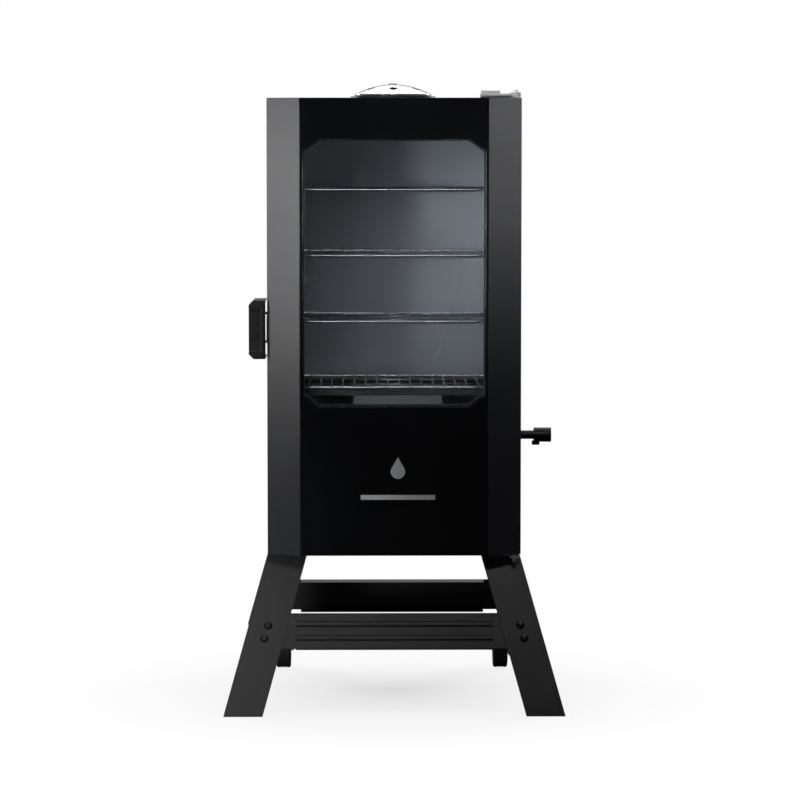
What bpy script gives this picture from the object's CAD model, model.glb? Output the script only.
"""Looks of an upright electric smoker: its finishes, its fine pieces and its studio.

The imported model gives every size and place. This script dresses the model's nodes, replaces
the few whose real form is finer than the design model's, and adds screws, beads and seams.
"""
import logging
import math
from dataclasses import dataclass
from enum import Enum
from typing import ClassVar, Iterable, Optional, Sequence

import bmesh
import bpy
from mathutils import Matrix, Vector


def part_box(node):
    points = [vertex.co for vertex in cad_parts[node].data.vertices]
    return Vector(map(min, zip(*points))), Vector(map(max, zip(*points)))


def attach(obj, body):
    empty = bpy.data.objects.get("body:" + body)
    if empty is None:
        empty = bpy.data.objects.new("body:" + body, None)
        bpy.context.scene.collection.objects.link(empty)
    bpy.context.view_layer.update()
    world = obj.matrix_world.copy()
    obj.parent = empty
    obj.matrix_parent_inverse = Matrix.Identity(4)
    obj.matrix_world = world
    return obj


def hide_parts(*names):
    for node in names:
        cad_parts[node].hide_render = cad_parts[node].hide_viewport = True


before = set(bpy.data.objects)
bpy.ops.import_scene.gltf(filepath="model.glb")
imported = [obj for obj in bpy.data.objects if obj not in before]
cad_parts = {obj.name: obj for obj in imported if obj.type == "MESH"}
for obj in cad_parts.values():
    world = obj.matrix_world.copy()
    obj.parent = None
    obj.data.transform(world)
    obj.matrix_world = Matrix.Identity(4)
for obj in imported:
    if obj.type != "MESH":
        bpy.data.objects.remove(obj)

LOG = logging.getLogger("smoker")
MM = 0.001
POLE = 1e-7  # a smaller radius than this counts as a point on the axis
SEGMENTS = 96  # of a turned piece
SCREW_SEGMENTS = 24
# a pan head with a dished driving recess, as shares of its radius and height
SCREW_SHAPE = ((0.0, 0.45), (0.28, 0.5), (0.36, 0.93), (0.5, 1.0), (0.8, 0.8), (0.96, 0.45),
               (1.0, 0.0))
Colour = tuple[float, float, float]
Point = tuple[float, float, float]
Pair = tuple[float, float]
Profile = Sequence[Pair]
Socket = bpy.types.NodeSocket
Node = bpy.types.Node
Piece = bpy.types.Object
Draft = bmesh.types.BMesh


class Axis(Enum):
    """Main direction of a turned or straight piece."""

    X = "X"
    Y = "Y"
    Z = "Z"

    def matrix(self) -> Matrix:
        """Turn that carries local Z onto this axis."""
        if self is Axis.X:
            return Matrix.Rotation(math.pi / 2, 4, "Y")
        if self is Axis.Y:
            return Matrix.Rotation(-math.pi / 2, 4, "X")
        return Matrix.Identity(4)


# ---- shader node groups


@dataclass
class Graph:
    """A short way to write one node tree."""

    tree: bpy.types.NodeTree

    def node(self, kind: str, **settings: object) -> Node:
        """Adds one node.

        Args:
            kind: Blender's type name of the node.
            **settings: Attributes of the node to set.

        Returns:
            The new node.
        """
        made = self.tree.nodes.new(kind)
        for key, value in settings.items():
            setattr(made, key, value)
        return made

    def put(self, socket: Socket, value: object) -> None:
        """Feeds a socket from another socket or sets its constant.

        Args:
            socket: The input to feed.
            value: An output socket, or a number, vector or colour.
        """
        if isinstance(value, Socket):
            self.tree.links.new(value, socket)
        else:
            socket.default_value = value

    def feed(self, made: Node, *values: object, **named: object
             ) -> Socket:
        """Feeds several inputs of a node.

        Args:
            made: The node.
            *values: Sockets or constants for its first inputs, in order.
            **named: The same by input name, with underscores for spaces.

        Returns:
            The node's first output.
        """
        for place, value in enumerate(values):
            self.put(made.inputs[place], value)
        for key, value in named.items():
            self.put(made.inputs[key.replace("_", " ")], value)
        return made.outputs[0]

    def math(self, what: str, a: object, b: object = 0.0) -> Socket:
        """Adds a clamped Math node.

        Args:
            what: The operation, such as MULTIPLY.
            a: First value or socket.
            b: Second value or socket.

        Returns:
            The result socket.
        """
        return self.feed(self.node("ShaderNodeMath", operation=what, use_clamp=True), a, b)

    def spread(self, value: object, low: object, high: object,
               start: object = 0.0, end: object = 1.0) -> Socket:
        """Maps a value between start and end onto low to high.

        Args:
            value: The socket to map.
            low: Result at start.
            high: Result at end.
            start: Lowest value taken.
            end: Highest value taken.

        Returns:
            The mapped socket.
        """
        return self.feed(self.node("ShaderNodeMapRange"), value, start, end, low, high)

    def noise(self, scale: object, detail: float = 2.0,
              stretch: Optional[Point] = None) -> Socket:
        """Adds a noise texture in the piece's own space.

        Args:
            scale: Features per metre.
            detail: Octaves of the noise.
            stretch: Scale along each axis, for brushed or streaked marks.

        Returns:
            The noise value socket.
        """
        place = self.node("ShaderNodeTexCoord").outputs["Object"]
        if stretch is not None:
            place = self.feed(self.node("ShaderNodeMapping"), Vector=place, Scale=stretch)
        return self.feed(self.node("ShaderNodeTexNoise"), Vector=place, Scale=scale,
                         Detail=detail)

    def group(self, tree: bpy.types.NodeTree, **values: float) -> bpy.types.NodeOutputs:
        """Places a node group with a material's own values.

        Args:
            tree: The group.
            **values: Input values.

        Returns:
            The group's outputs.
        """
        made = self.node("ShaderNodeGroup", node_tree=tree)
        self.feed(made, **values)
        return made.outputs

    def bump(self, shader: Node, height: Socket, strength: float, distance: float) -> None:
        """Feeds a shader's normal from a height.

        Args:
            shader: The principled shader.
            height: The height socket.
            strength: Strength of the bump.
            distance: Depth of the relief in metres.
        """
        self.feed(shader, Normal=self.feed(self.node("ShaderNodeBump"), Strength=strength,
                                           Distance=distance, Height=height))

    def mix(self, factor: object, a: Socket, b: Socket
            ) -> Socket:
        """Mixes two shaders.

        Args:
            factor: Share of the second shader.
            a: First shader.
            b: Second shader.

        Returns:
            The mixed shader socket.
        """
        return self.feed(self.node("ShaderNodeMixShader"), factor, a, b)

    def ray(self, kind: str) -> Socket:
        """Tells whether a ray is of one kind, such as Is Camera Ray."""
        return self.node("ShaderNodeLightPath").outputs[kind]

    def blend(self, factor: object, a: object, b: object) -> Socket:
        """Mixes two colours.

        Args:
            factor: Share of the second colour.
            a: First colour or socket.
            b: Second colour or socket.

        Returns:
            The mixed colour socket.
        """
        made = self.node("ShaderNodeMix", data_type="RGBA")
        self.put(made.inputs[0], factor)
        for place, item in enumerate((a, b), 6):
            self.put(made.inputs[place],
                     item if isinstance(item, Socket) else (*item, 1.0))
        return made.outputs[2]


def clean_graph(owner: bpy.types.ID) -> Graph:
    """Switches a material or world to nodes and gives its emptied tree."""
    owner.use_nodes = True
    owner.node_tree.nodes.clear()
    return Graph(owner.node_tree)


def open_group(name: str, inputs: dict[str, float], outputs: Sequence[str]
               ) -> tuple[Graph, Sequence[Socket], Sequence[Socket], bool]:
    """Finds or starts a shader node group with float sockets.

    Args:
        name: Name of the group.
        inputs: Input names with their usual values.
        outputs: Output names.

    Returns:
        The group's graph, what comes in and goes out of it, and whether it is new.
    """
    found = bpy.data.node_groups.get(name)
    if found is not None:
        return Graph(found), (), (), False
    tree = bpy.data.node_groups.new(name, "ShaderNodeTree")
    for key, usual in inputs.items():
        tree.interface.new_socket(key, in_out="INPUT", socket_type="NodeSocketFloat"
                                  ).default_value = usual
    for key in outputs:
        tree.interface.new_socket(key, in_out="OUTPUT", socket_type="NodeSocketFloat")
    graph = Graph(tree)
    return (graph, graph.node("NodeGroupInput").outputs, graph.node("NodeGroupOutput").inputs,
            True)


def grain_group() -> bpy.types.NodeTree:
    """Fine grain: a height and a slow tone, for powder coat and moulded plastic."""
    g, come, go, new = open_group("fine_grain", {"Scale": 900.0, "Cloud": 6.0},
                                  ("Height", "Tone"))
    if new:
        fine = g.noise(come["Scale"], 2.0)
        broad = g.noise(come["Cloud"], 4.0)
        g.put(go["Height"], fine)
        g.put(go["Tone"], g.spread(broad, 0.0, 1.0, 0.32, 0.68))
    return g.tree


def wear_group() -> bpy.types.NodeTree:
    """Edge wear: a mask of broken, rubbed edges."""
    g, come, go, new = open_group("edge_wear", {"Amount": 0.3, "Scale": 120.0}, ("Mask",))
    if new:
        edge = g.node("ShaderNodeNewGeometry").outputs["Pointiness"]
        sharp = g.spread(edge, 0.0, 1.0, 0.52, 0.62)
        broken = g.spread(g.noise(come["Scale"], 5.0), 0.0, 1.0, 0.45, 0.7)
        rubbed = g.math("MULTIPLY", sharp, broken)
        g.put(go["Mask"], g.math("MULTIPLY", rubbed, come["Amount"]))
    return g.tree


def dust_group() -> bpy.types.NodeTree:
    """Dust that settles on faces that look up."""
    g, come, go, new = open_group("settled_dust", {"Amount": 0.15}, ("Mask",))
    if new:
        split = g.node("ShaderNodeSeparateXYZ")
        g.put(split.inputs[0], g.node("ShaderNodeNewGeometry").outputs["Normal"])
        upward = g.spread(split.outputs[2], 0.0, 1.0, 0.5, 1.0)
        patchy = g.spread(g.noise(35.0, 6.0), 0.2, 1.0, 0.4, 0.65)
        g.put(go["Mask"], g.math("MULTIPLY", g.math("MULTIPLY", upward, patchy),
                                        come["Amount"]))
    return g.tree


def smear_group() -> bpy.types.NodeTree:
    """Smears and wiping marks: a slow, stretched tone for glossy faces."""
    g, come, go, new = open_group("wiped_smears", {"Scale": 9.0}, ("Tone",))
    if new:
        long_marks = g.noise(come["Scale"], 5.0, (1.0, 1.0, 0.35))
        spots = g.noise(60.0, 3.0)
        both = g.math("MULTIPLY", long_marks, g.spread(spots, 0.6, 1.0, 0.3, 0.7))
        g.put(go["Tone"], g.spread(both, 0.0, 1.0, 0.2, 0.6))
    return g.tree


# ---- finishes


@dataclass(frozen=True)
class Finish:
    """Base of every finish: a name, the record's slot and the way to build it."""

    name: str
    slot: str

    def build(self) -> bpy.types.Material:
        """Returns this finish's material, made on first use."""
        found = bpy.data.materials.get(self.name)
        if found is not None:
            return found
        made = bpy.data.materials.new(self.name)
        graph = clean_graph(made)
        shader = graph.node("ShaderNodeBsdfPrincipled")
        out = graph.node("ShaderNodeOutputMaterial")
        graph.put(out.inputs["Surface"], self.wire(graph, shader))
        return made

    def wire(self, g: Graph, shader: Node) -> Socket:
        """Sets the shader's inputs and returns the surface socket."""
        raise NotImplementedError


@dataclass(frozen=True)
class Coated(Finish):
    """Powder coat, enamel, plastic or rubber over anything."""

    base: Colour
    shift: Colour
    rough_low: float = 0.35
    rough_high: float = 0.5
    grain: float = 900.0
    relief: float = 0.12
    worn: Colour = (0.2, 0.2, 0.2)
    wear: float = 0.0
    dust: float = 0.06
    specular: float = 0.5
    coat: float = 0.0

    def wire(self, g: Graph, shader: Node) -> Socket:
        """Wires grain, slow tone, edge wear and dust into the shader."""
        grain = g.group(grain_group(), Scale=self.grain, Cloud=7.0)
        wear = g.group(wear_group(), Amount=self.wear, Scale=140.0)
        dust = g.group(dust_group(), Amount=self.dust)
        colour = g.blend(grain["Tone"], self.base, self.shift)
        colour = g.blend(wear["Mask"], colour, self.worn)
        colour = g.blend(dust["Mask"], colour, (0.32, 0.3, 0.27))
        g.feed(shader, Base_Color=colour, Specular_IOR_Level=self.specular,
               Coat_Weight=self.coat, Coat_Roughness=0.06,
               Roughness=g.spread(grain["Tone"], self.rough_low, self.rough_high))
        g.bump(shader, grain["Height"], self.relief, 0.0006)
        return shader.outputs[0]


@dataclass(frozen=True)
class Gloss(Finish):
    """Smooth enamel or lens with wiping smears and no grain to speak of."""

    base: Colour
    shift: Colour
    rough_low: float = 0.05
    rough_high: float = 0.12
    specular: float = 0.5

    def wire(self, g: Graph, shader: Node) -> Socket:
        """Wires the smears into colour and roughness, with a faint waviness."""
        smear = g.group(smear_group(), Scale=9.0)
        tone = smear["Tone"]
        g.feed(shader, Base_Color=g.blend(tone, self.base, self.shift),
               Roughness=g.spread(tone, self.rough_low, self.rough_high),
               Specular_IOR_Level=self.specular)
        g.bump(shader, g.noise(26.0, 1.0), 0.03, 0.001)
        return shader.outputs[0]


@dataclass(frozen=True)
class Metal(Finish):
    """Bare, plated or brushed metal."""

    base: Colour
    shift: Colour
    rough_low: float = 0.15
    rough_high: float = 0.3
    brush: Point = (1.0, 1.0, 1.0)
    grain: float = 300.0
    relief: float = 0.05

    def wire(self, g: Graph, shader: Node) -> Socket:
        """Wires brush marks and cloudy tarnish into the shader."""
        cloud = g.group(grain_group(), Scale=self.grain, Cloud=14.0)
        marks = g.noise(self.grain, 3.0, self.brush)
        tone = g.math("MULTIPLY", marks, g.spread(cloud["Tone"], 0.6, 1.0))
        g.feed(shader, Base_Color=g.blend(tone, self.base, self.shift), Metallic=1.0,
               Roughness=g.spread(tone, self.rough_low, self.rough_high, 0.1, 0.6))
        g.bump(shader, marks, self.relief, 0.0004)
        return shader.outputs[0]


@dataclass(frozen=True)
class Pane(Finish):
    """Clear tempered glass that lets lamp light through."""

    tint: Colour

    def wire(self, g: Graph, shader: Node) -> Socket:
        """Mixes clear glass with plain passage for shadow rays."""
        smear = g.group(smear_group(), Scale=12.0)
        tint = (*self.tint, 1.0)
        glass = g.feed(shader, Roughness=g.spread(smear["Tone"], 0.0, 0.02),
                       Base_Color=tint, Transmission_Weight=1.0, IOR=1.45)
        clear = g.feed(g.node("ShaderNodeBsdfTransparent"), Color=tint)
        return g.mix(g.ray("Is Shadow Ray"), glass, clear)


@dataclass(frozen=True)
class Lit(Finish):
    """Glowing display digits."""

    glow: Colour
    power: float = 1.5

    def wire(self, g: Graph, shader: Node) -> Socket:
        """Wires a slightly uneven glow."""
        uneven = g.spread(g.noise(900.0, 1.0), 0.0, 1.0, 0.2, 0.8)
        dim = tuple(0.6 * part for part in self.glow)
        return g.feed(shader, Emission_Color=g.blend(uneven, dim, self.glow),
                      Emission_Strength=self.power, Base_Color=(0.01, 0.01, 0.01, 1.0))


CABINET_PAINT = Coated("cabinet_powder_coat", "cabinet_paint", (0.017, 0.018, 0.021),
                       (0.022, 0.023, 0.026), 0.36, 0.42, 1400.0, 0.05, dust=0.04)
DOOR_PAINT = Coated("door_powder_coat", "door_paint", (0.019, 0.020, 0.024),
                    (0.022, 0.023, 0.028), 0.37, 0.40, 1500.0, 0.04, dust=0.02)
TUNNEL_BLACK = Coated("tunnel_matt_black", "cabinet_paint", (0.014, 0.0145, 0.016),
                      (0.018, 0.0185, 0.020), 0.5, 0.6, 900.0, 0.05, dust=0.0,
                      specular=0.25)
STAND_PAINT = Coated("stand_powder_coat", "stand_paint", (0.015, 0.0152, 0.0168),
                     (0.020, 0.0202, 0.0222), 0.38, 0.46, 1500.0, 0.04, dust=0.02)
PAN_ENAMEL = Coated("pan_enamel", "pan_enamel", (0.030, 0.030, 0.031), (0.050, 0.048, 0.046),
                    0.22, 0.38, 700.0, 0.06, worn=(0.12, 0.11, 0.1), wear=0.25)
DARK_PLASTIC = Coated("moulded_black_plastic", "dark_plastic", (0.006, 0.006, 0.0065),
                      (0.009, 0.009, 0.010), 0.34, 0.46, 1400.0, 0.1, wear=0.1,
                      worn=(0.03, 0.03, 0.03), specular=0.3)
BUTTON_PLASTIC = Coated("button_plastic", "button_plastic", (0.035, 0.035, 0.038),
                        (0.05, 0.05, 0.053), 0.35, 0.48, 1600.0, 0.12, worn=(0.1, 0.1, 0.1),
                        wear=0.25)
WHEEL_PLASTIC = Coated("wheel_plastic", "wheel_plastic", (0.010, 0.010, 0.010),
                       (0.020, 0.019, 0.018), 0.45, 0.62, 800.0, 0.22, worn=(0.06, 0.06, 0.055),
                       wear=0.25, dust=0.12)
BOLT_BLACK = Coated("bolt_black_oxide", "bolt_black", (0.006, 0.006, 0.007),
                    (0.011, 0.011, 0.012), 0.2, 0.32, 1500.0, 0.04)
SEAL_RUBBER = Coated("seal_silicone", "gasket_cord", (0.018, 0.018, 0.018),
                     (0.030, 0.029, 0.028), 0.55, 0.7, 600.0, 0.2, dust=0.05)
WOOL = Coated("mineral_wool", "wool", (0.42, 0.36, 0.24), (0.55, 0.48, 0.34), 0.85, 0.98,
              260.0, 0.9)
FACED_BOARD = Coated("dark_foil_facing", "wool", (0.013, 0.0135, 0.015),
                     (0.018, 0.0185, 0.020), 0.5, 0.65, 500.0, 0.1, specular=0.3)
GLOSS_PANEL = Gloss("gloss_black_enamel", "gloss_panel", (0.0040, 0.0043, 0.0056),
                    (0.0056, 0.0060, 0.0076), 0.10, 0.16, 0.35)
LENS = Gloss("display_lens", "lens", (0.004, 0.006, 0.006), (0.006, 0.009, 0.008), 0.04, 0.1)
LINER_STEEL = Metal("rolled_liner_steel", "liner_steel", (0.33, 0.34, 0.37),
                    (0.42, 0.43, 0.46), 0.44, 0.56, (1.0, 1.0, 0.05), 420.0, 0.04)
RACK_CHROME = Metal("rack_chrome", "rack_chrome", (0.86, 0.87, 0.88), (0.74, 0.74, 0.73),
                    0.16, 0.26, (1.0, 1.0, 1.0), 300.0, 0.002)
VENT_CHROME = Metal("vent_chrome", "vent_chrome", (0.63, 0.64, 0.66), (0.52, 0.53, 0.55),
                    0.10, 0.22, (1.0, 1.0, 1.0), 90.0, 0.03)
BOWL_STEEL = Metal("bowl_steel", "bowl_steel", (0.85, 0.86, 0.87), (0.70, 0.705, 0.71),
                   0.3, 0.42, (0.06, 1.0, 1.0), 500.0, 0.05)
ELEMENT_STEEL = Metal("element_steel", "element_steel", (0.11, 0.09, 0.075),
                      (0.16, 0.15, 0.17), 0.35, 0.55, (1.0, 1.0, 1.0), 260.0, 0.1)
ZINC = Metal("zinc_plate", "zinc", (0.52, 0.53, 0.54), (0.40, 0.405, 0.40), 0.28, 0.42,
             (1.0, 1.0, 1.0), 220.0, 0.06)
HINGE_PLATE = Coated("passivated_hinge_plate", "zinc", (0.42, 0.42, 0.425),
                     (0.52, 0.52, 0.525), 0.36, 0.5, 900.0, 0.05)
EMBLEM_METAL = Metal("emblem_aluminium", "emblem_metal", (0.72, 0.73, 0.75),
                     (0.6, 0.61, 0.62), 0.3, 0.42, (0.05, 1.0, 1.0), 600.0, 0.04)
GLASS = Pane("tempered_glass", "pane", (0.93, 0.94, 0.95))
DIGITS = Lit("display_digits", "lens", (1.0, 0.12, 0.04))


# ---- making pieces


def object_from(name: str, mesh_data: Draft, smooth: bool = True) -> Piece:
    """Turns a bmesh into a linked object.

    Args:
        name: Name of the piece.
        mesh_data: The finished bmesh, which is freed.
        smooth: Whether the faces are shaded smooth.

    Returns:
        The new object.
    """
    bmesh.ops.recalc_face_normals(mesh_data, faces=mesh_data.faces)
    mesh = bpy.data.meshes.new(name)
    for face in mesh_data.faces:
        face.smooth = smooth
    mesh_data.to_mesh(mesh)
    mesh_data.free()
    made = bpy.data.objects.new(name, mesh)
    bpy.context.scene.collection.objects.link(made)
    return made


def dress(piece: Piece, finish: Finish) -> None:
    """Gives a piece one finish all over.

    Args:
        piece: The object to dress.
        finish: Its finish.
    """
    piece.data.materials.clear()
    piece.data.materials.append(finish.build())


def settle(piece: Piece, finish: Finish, body: str,
           *stands_for: str) -> Piece:
    """Dresses a new piece, lets it ride on its body and hides what it stands for.

    Args:
        piece: The new object, already in place.
        finish: Its finish.
        body: Name of the body it moves with.
        *stands_for: Nodes that it replaces.

    Returns:
        The same object.
    """
    dress(piece, finish)
    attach(piece, body)
    if stands_for:
        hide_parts(*stands_for)
    LOG.info("piece %s on %s", piece.name, body)
    return piece


def soften(node: str, finish: Finish, width: float, angle: float) -> None:
    """Keeps a node of the design model, rounds its edges slightly and dresses it.

    Args:
        node: Name of the node.
        finish: Its finish.
        width: Width of the rounded edge.
        angle: Smallest angle, in degrees, of an edge that is rounded.
    """
    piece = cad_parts[node]
    for face in piece.data.polygons:
        face.use_smooth = True
    weld = piece.modifiers.new("weld", "WELD")
    weld.merge_threshold = 0.00001
    if width > 0.0:
        edge = piece.modifiers.new("edge", "BEVEL")
        edge.width = width
        edge.segments = 2
        edge.limit_method = "ANGLE"
        edge.angle_limit = math.radians(angle)
        edge.use_clamp_overlap = True
    shade = piece.modifiers.new("shade", "WEIGHTED_NORMAL")
    shade.keep_sharp = False
    shade.weight = 80
    dress(piece, finish)
    LOG.info("node %s dressed as %s", node, finish.name)


def arc(centre: Pair, radius: float, start: float, end: float, steps: int) -> list[Pair]:
    """Points along an arc in a plane.

    Args:
        centre: Centre of the arc.
        radius: Its radius.
        start: First angle in degrees.
        end: Last angle in degrees.
        steps: Number of stretches.

    Returns:
        The points, both ends included.
    """
    turns = [math.radians(start + (end - start) * i / steps) for i in range(steps + 1)]
    return [(centre[0] + radius * math.cos(t), centre[1] + radius * math.sin(t)) for t in turns]


def rounded_corners(low: Pair, high: Pair, bend: float, radius: float, steps: int
                    ) -> list[tuple[Pair, Pair]]:
    """Corners of a rectangle with rounded corners, in order around it.

    Args:
        low: Lowest corner.
        high: Highest corner.
        bend: Distance of the arcs' centres from the sides.
        radius: Radius of the arcs.
        steps: Number of stretches in an arc.

    Returns:
        Pairs of an arc's centre and a point on it.
    """
    x0, x1, y0, y1 = low[0] + bend, high[0] - bend, low[1] + bend, high[1] - bend
    centres = ((x1, y1), (x0, y1), (x0, y0), (x1, y0))
    return [(centre, point) for k, centre in enumerate(centres)
            for point in arc(centre, radius, 90 * k, 90 * k + 90, steps)]


def stitch(data: Draft, rings: Sequence[Sequence[bmesh.types.BMVert]],
           closed: bool) -> None:
    """Joins rings of vertices by faces, one ring to the next.

    Args:
        data: The bmesh that holds the rings.
        rings: The rings; one of a single vertex is a point.
        closed: Whether the last ring joins the first; if not, both get a cap.
    """
    count = max(len(ring) for ring in rings)
    for low, high in zip(rings, [*rings[1:], *(rings[:1] if closed else ())]):
        for i in range(count):
            j = (i + 1) % count
            ends = (low[i % len(low)], low[j % len(low)], high[j % len(high)], high[i % len(high)])
            data.faces.new(tuple(dict.fromkeys(ends)))
    for end in () if closed else (rings[0], rings[-1]):
        if len(end) > 2:
            data.faces.new(end)


def turned_into(data: Draft, profile: Profile, place: Point, axis: Axis,
                count: int = SEGMENTS, ring: bool = False) -> None:
    """Turns a profile around an axis into a bmesh and closes its open ends.

    Args:
        data: The bmesh that takes the turned surface.
        profile: Pairs of radius and height, from one end to the other.
        place: Where the profile's origin goes.
        axis: The axis it is turned about.
        count: Number of segments around.
        ring: Whether the profile's end joins its start, instead of two caps.
    """
    turn = Matrix.Translation(place) @ axis.matrix()
    rings = []
    for radius, height in profile:
        points = [(0.0, 0.0, height)] if radius < POLE else [
            (radius * math.cos(2 * math.pi * i / count),
             radius * math.sin(2 * math.pi * i / count), height) for i in range(count)]
        rings.append([data.verts.new(turn @ Vector(point)) for point in points])
    stitch(data, rings, ring)


def wire_into(data: Draft, path: Sequence[Point], radius: float, sides: int = 8,
              closed: bool = False) -> None:
    """Sweeps a round wire along a path into a bmesh.

    Args:
        data: The bmesh that takes the wire.
        path: Points of the wire's centre line.
        radius: Radius of the wire.
        sides: Number of sides.
        closed: Whether the wire joins its own start.
    """
    path = [Vector(point) for point in path]
    count = len(path)
    rings = []
    before: Optional[Vector] = None
    for i, point in enumerate(path):
        ahead = path[(i + 1) % count] if closed or i + 1 < count else point
        behind = path[(i - 1) % count] if closed or i > 0 else point
        along = (ahead - behind).normalized()
        side = before if before is not None else (
            Vector((0, 0, 1)) if abs(along.z) < 0.9 else Vector((1, 0, 0)))
        side = (side - along * side.dot(along)).normalized()
        before = side
        other = along.cross(side)
        rings.append([data.verts.new(point + radius * (math.cos(2 * math.pi * k / sides) * side
                                                       + math.sin(2 * math.pi * k / sides) * other))
                      for k in range(sides)])
    stitch(data, rings, closed)


def slab_into(data: Draft, low: Point, high: Point, edge: float = 0.0) -> None:
    """Adds a box with rounded edges to a bmesh.

    Args:
        data: The bmesh that takes the box.
        low: Lowest corner.
        high: Highest corner.
        edge: Width of the rounded edges.
    """
    low, high = Vector(low), Vector(high)
    made = bmesh.ops.create_cube(data, size=1.0)
    bmesh.ops.scale(data, vec=high - low, verts=made["verts"])
    bmesh.ops.translate(data, vec=(low + high) / 2, verts=made["verts"])
    if edge > 0.0:
        edges = list({e for v in made["verts"] for e in v.link_edges})
        bmesh.ops.bevel(data, geom=edges, offset=edge, segments=3, affect="EDGES", profile=0.5)


def screws(name: str, places: Iterable[Point], axis: Axis, radius: float, height: float,
           finish: Finish, body: str) -> Piece:
    """Makes a set of screw heads as one piece.

    Args:
        name: Name of the piece.
        places: Where each head's base goes.
        axis: Direction that the heads face.
        radius: Radius of a head.
        height: Height of a head; negative faces the other way.
        finish: Their finish.
        body: Body they ride on.

    Returns:
        The joined heads.
    """
    data = bmesh.new()
    profile = [(radius * across, height * up) for across, up in SCREW_SHAPE]
    for place in places:
        turned_into(data, profile, place, axis, SCREW_SEGMENTS)
    return settle(object_from(name, data), finish, body)


def centre_of(node: str) -> Vector:
    """Middle of a node's box."""
    low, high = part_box(node)
    return (low + high) / 2


# ---- sub-assemblies


@dataclass(frozen=True)
class Kept:
    """Nodes that keep their design shape: names with spaces between, finish and edge.

    The edge's width is in millimetres; edges flatter than the angle, in degrees, stay sharp.
    """

    finish: Finish
    width: float
    nodes: str
    angle: float = 40.0


@dataclass
class Assembly:
    """A sub-assembly: nodes that keep their design shape, and finer pieces made here."""

    kept: ClassVar[tuple[Kept, ...]] = ()

    def build(self) -> None:
        """Dresses the kept nodes, then adds the finer pieces."""
        for row in self.kept:
            for node in row.nodes.split():
                soften(node, row.finish, row.width * MM, row.angle)
        self.add()

    def add(self) -> None:
        """Adds the finer pieces; none unless a sub-assembly has its own."""


@dataclass
class Cabinet(Assembly):
    """The insulated box: outer sheet, back cover, front frame, liner and wool."""

    kept = (Kept(CABINET_PAINT, 0.7, "outer_shell back_cover front_frame"),
            Kept(LINER_STEEL, 0.4, "cavity_liner"), Kept(WOOL, 0.0, "insulation"))
    body: str = "cabinet"
    hem_depth: float = 9 * MM
    hem_rise: float = 0.7 * MM
    hem_end: float = 2 * MM
    cover_screw: float = 3.6 * MM
    screw_inset: float = 9 * MM
    screws_up: int = 5
    screws_across: int = 3
    up_margin: float = 30 * MM
    across_margin: float = 70 * MM
    clip: Pair = (64 * MM, 31 * MM)
    clip_bend: float = 4.5 * MM
    clip_half: float = 2.5 * MM

    def add(self) -> None:
        """Adds seams, screws and the fixings inside."""
        self.add_side_hems()
        self.add_cover_screws()
        self.add_cavity_fixings()

    def add_side_hems(self) -> None:
        """Folded hems where the outer sheet turns in at the rear."""
        low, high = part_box("back_cover")
        data = bmesh.new()
        for side in (low.x, high.x):
            edge = side + (self.hem_depth if side < 0 else -self.hem_depth)
            slab_into(data, (min(side, edge), high.y - 0.2 * MM, low.z + self.hem_end),
                      (max(side, edge), high.y + self.hem_rise, high.z - self.hem_end), 0.4 * MM)
        settle(object_from("rear_hems", data), CABINET_PAINT, self.body)

    def add_cover_screws(self) -> None:
        """Screws around the edge of the back cover."""
        low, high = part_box("back_cover")
        face = high.y + self.hem_rise - 0.1 * MM
        half = self.hem_depth / 2
        up = (high.z - low.z - 2 * self.up_margin) / (self.screws_up - 1)
        across = (high.x - low.x - 2 * self.across_margin) / (self.screws_across - 1)
        places = [(x, face, low.z + self.up_margin + i * up) for i in range(self.screws_up)
                  for x in (low.x + half, high.x - half)]
        places += [(low.x + self.across_margin + i * across, high.y, low.z + self.screw_inset)
                   for i in range(self.screws_across)]
        screws("cover_screws", places, Axis.Y, self.cover_screw, 1.6 * MM, BOLT_BLACK, self.body)

    def add_cavity_fixings(self) -> None:
        """Screws and a wire clip on the rear wall of the cavity."""
        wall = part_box("temperature_probe")[1].y
        probe = centre_of("temperature_probe")
        places = [(probe.x + dx, wall, probe.z + dz) for dx, dz in
                  ((2 * MM, 34 * MM), (13 * MM, 0.0), (1 * MM, -36 * MM))]
        screws("cavity_screws", places, Axis.Y, 3.2 * MM, -1.8 * MM, ZINC, self.body)
        data = bmesh.new()
        clip_x, clip_z = self.clip[0], probe.z + self.clip[1]
        wire_into(data, [(clip_x + x, wall - 4 * MM, clip_z + z) for x, z in
                         arc((0.0, 0.0), self.clip_bend, 200, -20, 12)], 0.6 * MM)
        slab_into(data, (clip_x - self.clip_half, wall - self.clip_bend, clip_z - 4 * MM),
                  (clip_x + self.clip_half, wall, clip_z - 1.5 * MM), 0.5 * MM)
        settle(object_from("cavity_clip", data), ZINC, self.body)


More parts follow.
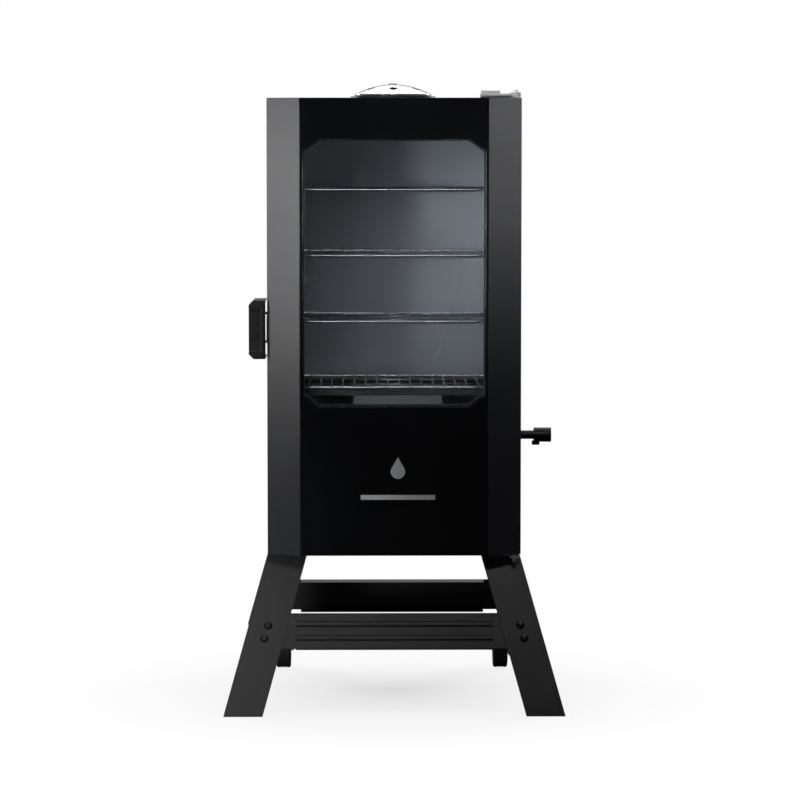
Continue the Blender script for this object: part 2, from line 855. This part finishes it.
@dataclass
class Racks(Assembly):
    """The wire racks and the ladders that carry them."""

    kept = (Kept(RACK_CHROME, 0.0, "rack_guide_left rack_guide_right"),)
    count: int = 4
    frame_wire: float = 2.7 * MM
    bar_wire: float = 1.5 * MM
    pitch: float = 20 * MM
    bend: float = 14 * MM
    cross_places: Pair = (0.3, 0.7)
    cross_inset: float = 3 * MM

    def add(self) -> None:
        """Builds every rack."""
        for index in range(self.count):
            self.build_rack(f"rack_{index + 1}", f"rack_{'abcd'[index]}")

    def build_rack(self, node: str, body: str) -> None:
        """Makes one rack of welded wire.

        Args:
            node: The node that it replaces.
            body: The body it rides on.
        """
        low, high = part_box(node)
        mid = (low.z + high.z) / 2
        inset = self.frame_wire + 0.3 * MM
        line = rounded_corners((low.x + inset, low.y + inset), (high.x - inset, high.y - inset),
                               self.bend, self.bend, 6)
        data = bmesh.new()
        wire_into(data, [(*point, mid - 0.3 * MM) for _, point in line], self.frame_wire, 12, True)
        wide = high.x - low.x - 2 * self.frame_wire
        gaps = math.ceil(wide / self.pitch)
        top = high.z - self.bar_wire
        end = ((1.7 * MM, mid - 1.2 * MM), (1.6 * MM, mid + 0.2 * MM), (2.6 * MM, top),
               (6 * MM, top))
        for i in range(1, gaps):
            x = low.x + self.frame_wire + wide * i / gaps
            wire_into(data, [(x, low.y + y, z) for y, z in end]
                      + [(x, high.y - y, z) for y, z in reversed(end)], self.bar_wire)
        for share in self.cross_places:
            y = low.y + share * (high.y - low.y)
            z = top - 2 * self.bar_wire + 0.2 * MM
            wire_into(data, [(low.x + self.cross_inset, y, z), (high.x - self.cross_inset, y, z)],
                      self.bar_wire)
        settle(object_from(f"wire_{node}", data), RACK_CHROME, body, node)


@dataclass
class HotZone(Assembly):
    """Pans, bowl, chip tray and heating element at the bottom of the cavity."""

    kept = (Kept(PAN_ENAMEL, 0.6, "drip_pan"), Kept(BOWL_STEEL, 0.5, "water_bowl"),
            Kept(PAN_ENAMEL, 0.5, "chip_tray"), Kept(ELEMENT_STEEL, 0.0, "heating_element"),
            Kept(ZINC, 0.3, "element_bracket"))
    body: str = "cabinet"
    bead: float = 1.3 * MM
    bend: float = 5 * MM
    sink: float = 0.4 * MM

    def add(self) -> None:
        """Rolls a wire rim around each open pan."""
        for node, finish in (("water_bowl", BOWL_STEEL), ("chip_tray", PAN_ENAMEL)):
            low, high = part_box(node)
            line = rounded_corners((low.x, low.y), (high.x, high.y), self.bend,
                                   self.bend - self.sink, 5)
            data = bmesh.new()
            wire_into(data, [(*point, high.z - self.sink) for _, point in line], self.bead,
                      closed=True)
            settle(object_from(f"{node}_rim", data), finish, self.body)


@dataclass
class ChipLoader(Assembly):
    """Side loader: sleeve, cap, scoop and handle."""

    kept = (Kept(ZINC, 0.3, "loader_sleeve"), Kept(BOWL_STEEL, 0.2, "loader_tube"),
            Kept(DARK_PLASTIC, 0.8, "loader_cap loader_handle"))


@dataclass
class Vent(Assembly):
    """Top vent: drilled plate, polished cap that turns, and rivet."""

    kept = (Kept(CABINET_PAINT, 0.6, "vent_base"), Kept(ZINC, 0.4, "vent_rivet"))
    sheet: float = 1.2 * MM
    flat: float = 12 * MM
    bead: float = 1.5 * MM
    bore: float = 4.1 * MM
    steps: int = 16
    holes: int = 6
    hole_ring: float = 44 * MM
    hole: float = 7 * MM
    crease: float = 35.0

    def cap_profile(self, radius: float, height: float) -> list[Pair]:
        """Outer line of the domed cap, from its middle to its rolled rim, and back inside.

        Args:
            radius: Radius of the cap.
            height: Height of the cap.

        Returns:
            Pairs of radius and height.
        """
        bead = self.bead
        reach = radius - 2 * bead - self.flat
        outer = [(self.bore, height), (self.flat - 1 * MM, height)]
        for i in range(self.steps + 1):
            r = self.flat + reach * i / self.steps
            fall = (r * r - self.flat ** 2) / ((radius - bead) ** 2 - self.flat ** 2)
            outer.append((r, height - (height - 2 * bead) * fall))
        rim = arc((radius - bead, bead), bead, 110, -90, 8)
        inner = [(r, h - self.sheet) for r, h in reversed(outer)]
        return outer + rim + inner + [outer[0]]

    def add(self) -> None:
        """Turns the domed cap, then cuts its ring of smoke holes."""
        low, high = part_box("vent_damper")
        middle = (low + high) / 2
        place = Vector((middle.x, middle.y, low.z))
        data = bmesh.new()
        turned_into(data, self.cap_profile((high.x - low.x) / 2, high.z - low.z), place, Axis.Z)
        cap = object_from("domed_cap", data)
        data = bmesh.new()
        for i in range(self.holes):
            turn = 2 * math.pi * (i + 0.5) / self.holes
            made = bmesh.ops.create_cone(data, cap_ends=True, segments=32, radius1=self.hole,
                                         radius2=self.hole, depth=60 * MM)
            bmesh.ops.translate(data, verts=made["verts"], vec=place + Vector(
                (self.hole_ring * math.cos(turn), self.hole_ring * math.sin(turn), 0.0)))
        cutter = object_from("hole_cutter", data, smooth=False)
        cut = cap.modifiers.new("holes", "BOOLEAN")
        cut.object = cutter
        cut.solver = "EXACT"
        bpy.context.view_layer.update()
        shaped = bpy.data.meshes.new_from_object(
            cap.evaluated_get(bpy.context.evaluated_depsgraph_get()))
        cap.modifiers.clear()
        cap.data = shaped
        bpy.data.objects.remove(cutter)
        shaped.set_sharp_from_angle(angle=math.radians(self.crease))
        settle(cap, VENT_CHROME, "vent_cap", "vent_damper")


@dataclass
class Controls(Assembly):
    """Controller on the back: housing, panel, lens, digits, buttons and inlet."""

    kept = (Kept(DARK_PLASTIC, 1.2, "controller_housing"), Kept(LENS, 0.3, "display_lens"),
            Kept(DARK_PLASTIC, 0.5, "control_panel power_inlet"),
            Kept(BUTTON_PLASTIC, 0.7,
                 "button_power button_heat button_timer button_minus button_plus"))
    body: str = "cabinet"
    digit_w: float = 7 * MM
    digit_h: float = 13 * MM
    digit_pitch: float = 12 * MM
    stroke: float = 1.3 * MM
    screw_inset: float = 10 * MM

    def add(self) -> None:
        """Lights the display and screws the housing on."""
        self.add_digits()
        low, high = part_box("controller_housing")
        places = [(x, high.y, z) for x in (low.x + self.screw_inset, high.x - self.screw_inset)
                  for z in (low.z + self.screw_inset, high.z - 12 * MM)]
        screws("housing_screws", places, Axis.Y, 3.2 * MM, 1.5 * MM, BOLT_BLACK, self.body)

    def add_digits(self) -> None:
        """Three plain figures on the display, built from short strokes."""
        low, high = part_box("display_lens")
        lit = {"2": "abged", "7": "abc", "5": "afgcd"}
        w, h, s = self.digit_w, self.digit_h, self.stroke
        bars = {"a": (0, h - s, w, h), "g": (0, h / 2 - s / 2, w, h / 2 + s / 2), "d": (0, 0, w, s),
                "b": (w - s, h / 2, w, h), "c": (w - s, 0, w, h / 2),
                "f": (0, h / 2, s, h), "e": (0, 0, s, h / 2)}
        data = bmesh.new()
        for place, figure in enumerate("275"):
            x0 = (low.x + high.x) / 2 + (place - 1) * self.digit_pitch - w / 2
            y0 = (low.y + high.y) / 2 - h / 2
            for bar in lit[figure]:
                ax, ay, bx, by = bars[bar]
                slab_into(data, (x0 + ax, y0 + ay, high.z - 0.1 * MM),
                          (x0 + bx, y0 + by, high.z + 0.15 * MM))
        settle(object_from("display_figures", data, smooth=False), DIGITS, self.body)


@dataclass
class Door(Assembly):
    """The door: skin, gloss panel, panes, tunnel, inner liner, seal and emblem."""

    kept = (Kept(DOOR_PAINT, 0.9, "door_shell", 18.0), Kept(GLOSS_PANEL, 0.35, "door_front_panel"),
            Kept(LINER_STEEL, 0.4, "door_inner_liner"), Kept(FACED_BOARD, 0.0, "door_insulation"),
            Kept(TUNNEL_BLACK, 0.0, "window_tunnel"),
            Kept(GLASS, 0.4, "window_glass_outer window_glass_inner"),
            Kept(EMBLEM_METAL, 0.25, "emblem"))
    body: str = "door"
    seal_width: float = 10 * MM
    seal_bend: float = 16 * MM
    screws_up: int = 5
    up_margin: float = 25 * MM
    across: float = 90 * MM

    def add(self) -> None:
        """Adds the seal and the screws of the inner liner."""
        self.add_seal()
        self.add_liner_screws()

    def add_seal(self) -> None:
        """Hollow-looking bulb seal with rounded corners."""
        low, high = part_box("door_gasket")
        depth = high.y - low.y
        half = self.seal_width / 2
        line = rounded_corners((low.x + half, low.z + half), (high.x - half, high.z - half),
                               self.seal_bend, self.seal_bend, 8)
        section = [(-half, 0.0), (-half, 0.3 * depth),
                   *arc((0.0, 0.45 * depth), 0.55 * depth, 170, 10, 8),
                   (half, 0.3 * depth), (half, 0.0)]
        data = bmesh.new()
        rings = []
        for centre, point in line:
            out = Vector((point[0] - centre[0], 0.0, point[1] - centre[1])).normalized()
            rings.append([data.verts.new(Vector((point[0], low.y + y, point[1])) + out * x)
                          for x, y in section])
        stitch(data, rings, True)
        settle(object_from("bulb_seal", data), SEAL_RUBBER, self.body, "door_gasket")

    def add_liner_screws(self) -> None:
        """Screws that hold the inner liner, around its edge."""
        low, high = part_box("door_inner_liner")
        seal_low, seal_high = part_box("door_gasket")
        side = (high.x + seal_high.x) / 2
        step = (high.z - low.z - 2 * self.up_margin) / (self.screws_up - 1)
        face = high.y - 0.2 * MM
        places = [(x, face, low.z + self.up_margin + i * step)
                  for x in (-side, side) for i in range(self.screws_up)]
        places += [(x, face, z) for x in (-self.across, self.across)
                   for z in ((low.z + seal_low.z) / 2, (high.z + seal_high.z) / 2)]
        screws("liner_screws", places, Axis.Y, 2.6 * MM, 1.3 * MM, ZINC, self.body)


@dataclass
class Latch(Assembly):
    """Side latch: bracket, lever and strike plate."""

    kept = (Kept(BOLT_BLACK, 0.5, "latch_base"), Kept(DARK_PLASTIC, 1.6, "latch_lever", 30.0),
            Kept(ZINC, 0.3, "latch_keeper"))
    ribs_each_way: int = 4
    rib_pitch: float = 7.5 * MM
    rib_half: float = 1.1 * MM

    def add(self) -> None:
        """Adds raised ribs in the lever's finger recess."""
        low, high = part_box("latch_lever")
        data = bmesh.new()
        for i in range(-self.ribs_each_way, self.ribs_each_way + 1):
            rib = (low.z + high.z) / 2 + i * self.rib_pitch
            slab_into(data, (low.x + 3.5 * MM, low.y + 5.2 * MM, rib - self.rib_half),
                      (high.x - 9.5 * MM, low.y + 7.2 * MM, rib + self.rib_half), 0.8 * MM)
        settle(object_from("grip_ribs", data), DARK_PLASTIC, "latch")


@dataclass
class Hinges(Assembly):
    """Brackets and pins that carry the door."""

    kept = (Kept(HINGE_PLATE, 0.5, "hinge_top hinge_bottom"), Kept(ZINC, 0.6, "hinge_pins"))


@dataclass
class Stand(Assembly):
    """Four sheet legs, two ribbed panels, their bolts, and the two wheels."""

    kept = (Kept(STAND_PAINT, 0.8, "leg_front_left leg_rear_left leg_front_right leg_rear_right",
                 25.0),
            Kept(STAND_PAINT, 0.5, "cross_panel_front cross_panel_rear", 25.0),
            Kept(BOLT_BLACK, 0.4, "leg_bolts", 50.0), Kept(ZINC, 0.5, "wheel_bolts", 50.0))
    ribs: int = 6
    rib_half: float = 1.6 * MM
    rib_depth: float = 5 * MM
    bore: float = 5.1 * MM
    soft: float = 4 * MM
    grooves: int = 3
    groove_half: float = 1.2 * MM

    def add(self) -> None:
        """Builds the wheels."""
        for side in ("left", "right"):
            self.build_wheel(side)

    def wheel_profile(self, radius: float, width: float) -> list[Pair]:
        """Half-section of a wheel from its bore around the tread and back."""
        soft, wide = self.soft, self.groove_half
        start = [(self.bore, 0.0), (11 * MM, 0.0), (12 * MM, 1 * MM), (12.5 * MM, 6 * MM),
                 (radius - 13 * MM, 6 * MM), (radius - 11.5 * MM, 1 * MM)]
        profile = start + arc((radius - soft, soft), soft, -100, 0, 6)
        flat = width - 2 * soft
        for i in range(self.grooves):
            z = soft + flat * (i + 1) / (self.grooves + 1)
            profile += [(radius, z - wide), (radius - wide, z - wide / 2),
                        (radius - wide, z + wide / 2), (radius, z + wide)]
        profile += arc((radius - soft, width - soft), soft, 0, 100, 6)
        return profile + [(r, width - z) for r, z in reversed(start)]

    def build_wheel(self, side: str) -> None:
        """Moulded wheel with a grooved tread and ribs between hub and rim.

        Args:
            side: Which wheel, left or right.
        """
        node, body = f"wheel_{side}", f"wheel_{side[0]}"
        low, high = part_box(node)
        middle = (low + high) / 2
        radius, width = (high.z - low.z) / 2, high.x - low.x
        place = Vector((low.x, middle.y, middle.z))
        data = bmesh.new()
        turned_into(data, self.wheel_profile(radius, width), place, Axis.X, ring=True)
        wheel = object_from(f"moulded_{node}", data)
        for face in list(wheel.data.polygons)[-SEGMENTS:]:
            face.use_smooth = False  # the bore
        settle(wheel, WHEEL_PLASTIC, body, node)
        spokes = bmesh.new()
        for i in range(self.ribs):
            turn = Matrix.Rotation(2 * math.pi * i / self.ribs, 4, "X")
            for face in (1.5 * MM, width - 6.5 * MM):
                piece = bmesh.new()
                slab_into(piece, (face, -self.rib_half, 11.5 * MM),
                          (face + self.rib_depth, self.rib_half, radius - 10.5 * MM), 0.7 * MM)
                bmesh.ops.transform(piece, matrix=Matrix.Translation(place) @ turn,
                                    verts=piece.verts)
                joined = bpy.data.meshes.new("spoke")
                piece.to_mesh(joined)
                piece.free()
                spokes.from_mesh(joined)
                bpy.data.meshes.remove(joined)
        settle(object_from(f"spokes_{side}", spokes), WHEEL_PLASTIC, body)


@dataclass
class GreaseCatch(Assembly):
    """Grease tray and its rails under the body."""

    kept = (Kept(PAN_ENAMEL, 0.4, "grease_tray"), Kept(CABINET_PAINT, 0.3, "tray_rails"))


@dataclass
class Studio:
    """Camera, floor, lamps and surroundings."""

    eye: Point = (-0.0501, -5.7495, 0.9394)
    lens: float = 149.17
    pitch: float = 4.3
    yaw: float = 0.62
    floor_half: float = 14.0
    floor_tone: Colour = (0.9, 0.9, 0.905)
    floor_bounce: Colour = (0.04, 0.04, 0.042)
    fade: Pair = (-1.2, 0.6)

    def build(self) -> None:
        """Sets up everything that isn't the smoker."""
        self.add_camera()
        self.add_floor()
        self.add_world()
        self.add_lamps()

    def add_camera(self) -> None:
        """Long-lens camera a little left of the middle, looking slightly down."""
        data = bpy.data.cameras.new("studio_camera")
        data.lens = self.lens
        data.sensor_width = 36.0
        data.clip_end = 60.0
        made = bpy.data.objects.new("studio_camera", data)
        made.location = self.eye
        made.rotation_euler = (math.radians(90.0 - self.pitch), 0.0, -math.radians(self.yaw))
        bpy.context.scene.collection.objects.link(made)
        bpy.context.scene.camera = made

    def add_floor(self) -> None:
        """Plain pale floor, lit around the smoker and fading to white further out."""
        half = self.floor_half
        data = bmesh.new()
        data.faces.new([data.verts.new((x, y, 0.0)) for x, y in
                        ((-half, -half), (half, -half), (half, half), (-half, half))])
        floor = object_from("studio_floor", data, smooth=False)
        made = bpy.data.materials.new("studio_floor")
        g = clean_graph(made)
        tone = tuple(0.97 * part for part in self.floor_tone)
        near = g.feed(g.node("ShaderNodeBsdfDiffuse"),
                      Color=g.blend(g.noise(2.0, 3.0), self.floor_tone, tone))
        place = g.node("ShaderNodeVectorMath", operation="LENGTH")
        g.put(place.inputs[0], g.node("ShaderNodeTexCoord").outputs["Object"])
        seen = g.mix(g.spread(place.outputs["Value"], 0.0, 1.0, *self.fade), near,
                     g.node("ShaderNodeEmission").outputs[0])
        dim = g.feed(g.node("ShaderNodeBsdfDiffuse"), Color=(*self.floor_bounce, 1.0))
        g.put(g.node("ShaderNodeOutputMaterial").inputs["Surface"],
              g.mix(g.ray("Is Camera Ray"), dim, seen))
        floor.data.materials.append(made)

    def add_world(self) -> None:
        """White to the eye, dim to the surfaces, and darkest in front of the door."""
        world = bpy.data.worlds.new("studio_world")
        g = clean_graph(world)
        seen = g.feed(g.node("ShaderNodeBackground"), Color=(1.0, 1.0, 1.0, 1.0))
        split = g.node("ShaderNodeSeparateXYZ")
        g.put(split.inputs[0], g.node("ShaderNodeTexCoord").outputs["Generated"])
        forward = g.spread(split.outputs[1], 0.014, 0.3, 0.0, 0.9)
        lamp = g.feed(g.node("ShaderNodeBackground"), Color=(0.95, 0.97, 1.0, 1.0),
                      Strength=forward)
        g.put(g.node("ShaderNodeOutputWorld").inputs["Surface"],
              g.mix(g.ray("Is Camera Ray"), lamp, seen))
        bpy.context.scene.world = world
        bpy.context.scene.view_settings.view_transform = "Standard"

    def lamp(self, name: str, place: Point, aim: Point, size: Pair,
             power: float, beam: float = 180.0) -> None:
        """Adds one soft rectangular lamp.

        Args:
            name: Name of the lamp.
            place: Where it stands.
            aim: Point that it faces.
            size: Its width and height.
            power: Its power in watts.
            beam: Spread of its beam in degrees.
        """
        data = bpy.data.lights.new(name, "AREA")
        data.shape = "RECTANGLE"
        data.size, data.size_y = size
        data.energy = power
        data.spread = math.radians(beam)
        made = bpy.data.objects.new(name, data)
        made.location = place
        made.rotation_euler = (Vector(aim) - Vector(place)).to_track_quat("-Z", "Y").to_euler()
        bpy.context.scene.collection.objects.link(made)

    def add_lamps(self) -> None:
        """Low key at the left front, weak fills, a strip above the front, and a wide top lamp."""
        for name, *settings in (
                ("key", (-2.5, -2.6, 0.72), (-0.2, -0.2, 1.53), (1.3, 0.5), 4.3, 43.0),
                ("key_low", (-1.1, -3.4, 0.3), (-0.5, -0.25, 0.1), (0.5, 0.3), 0.8, 18.0),
                ("side_fill", (2.4, -2.4, 0.72), (0.25, -0.2, 1.25), (0.7, 0.4), 0.55, 20.5),
                ("glow", (-1.6, -3.6, 0.85), (0.12, -0.2, 0.79), (0.8, 0.3), 0.36, 10.0),
                ("strip", (0.0, -4.0, 2.8), (0.0, -0.1, 0.78), (2.4, 0.4), 1.0, 26.0),
                ("top", (0.0, 0.3, 3.4), (0.0, 0.0, 0.0), (4.4, 4.4), 72.0),
                ("rear", (0.6, 3.0, 3.0), (0.0, 0.0, 0.6), (4.0, 1.8), 24.0),
                ("left_side", (-2.8, 2.8, 1.8), (0.0, 0.1, 0.6), (1.2, 1.4), 55.0),
                ("right_side", (2.8, 2.8, 1.8), (0.0, 0.1, 0.6), (1.2, 1.4), 55.0)):
            self.lamp(name, *settings)


def main() -> None:
    """Builds the studio and every sub-assembly, in order."""
    logging.basicConfig(level=logging.INFO, format="%(name)s: %(message)s")
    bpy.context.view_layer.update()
    for part in (Studio(), Cabinet(), Racks(), HotZone(), ChipLoader(), Vent(), Controls(),
                 Door(), Latch(), Hinges(), Stand(), GreaseCatch()):
        LOG.info("building %s", type(part).__name__)
        part.build()
    bpy.context.view_layer.update()


if __name__ == "__main__":
    main()
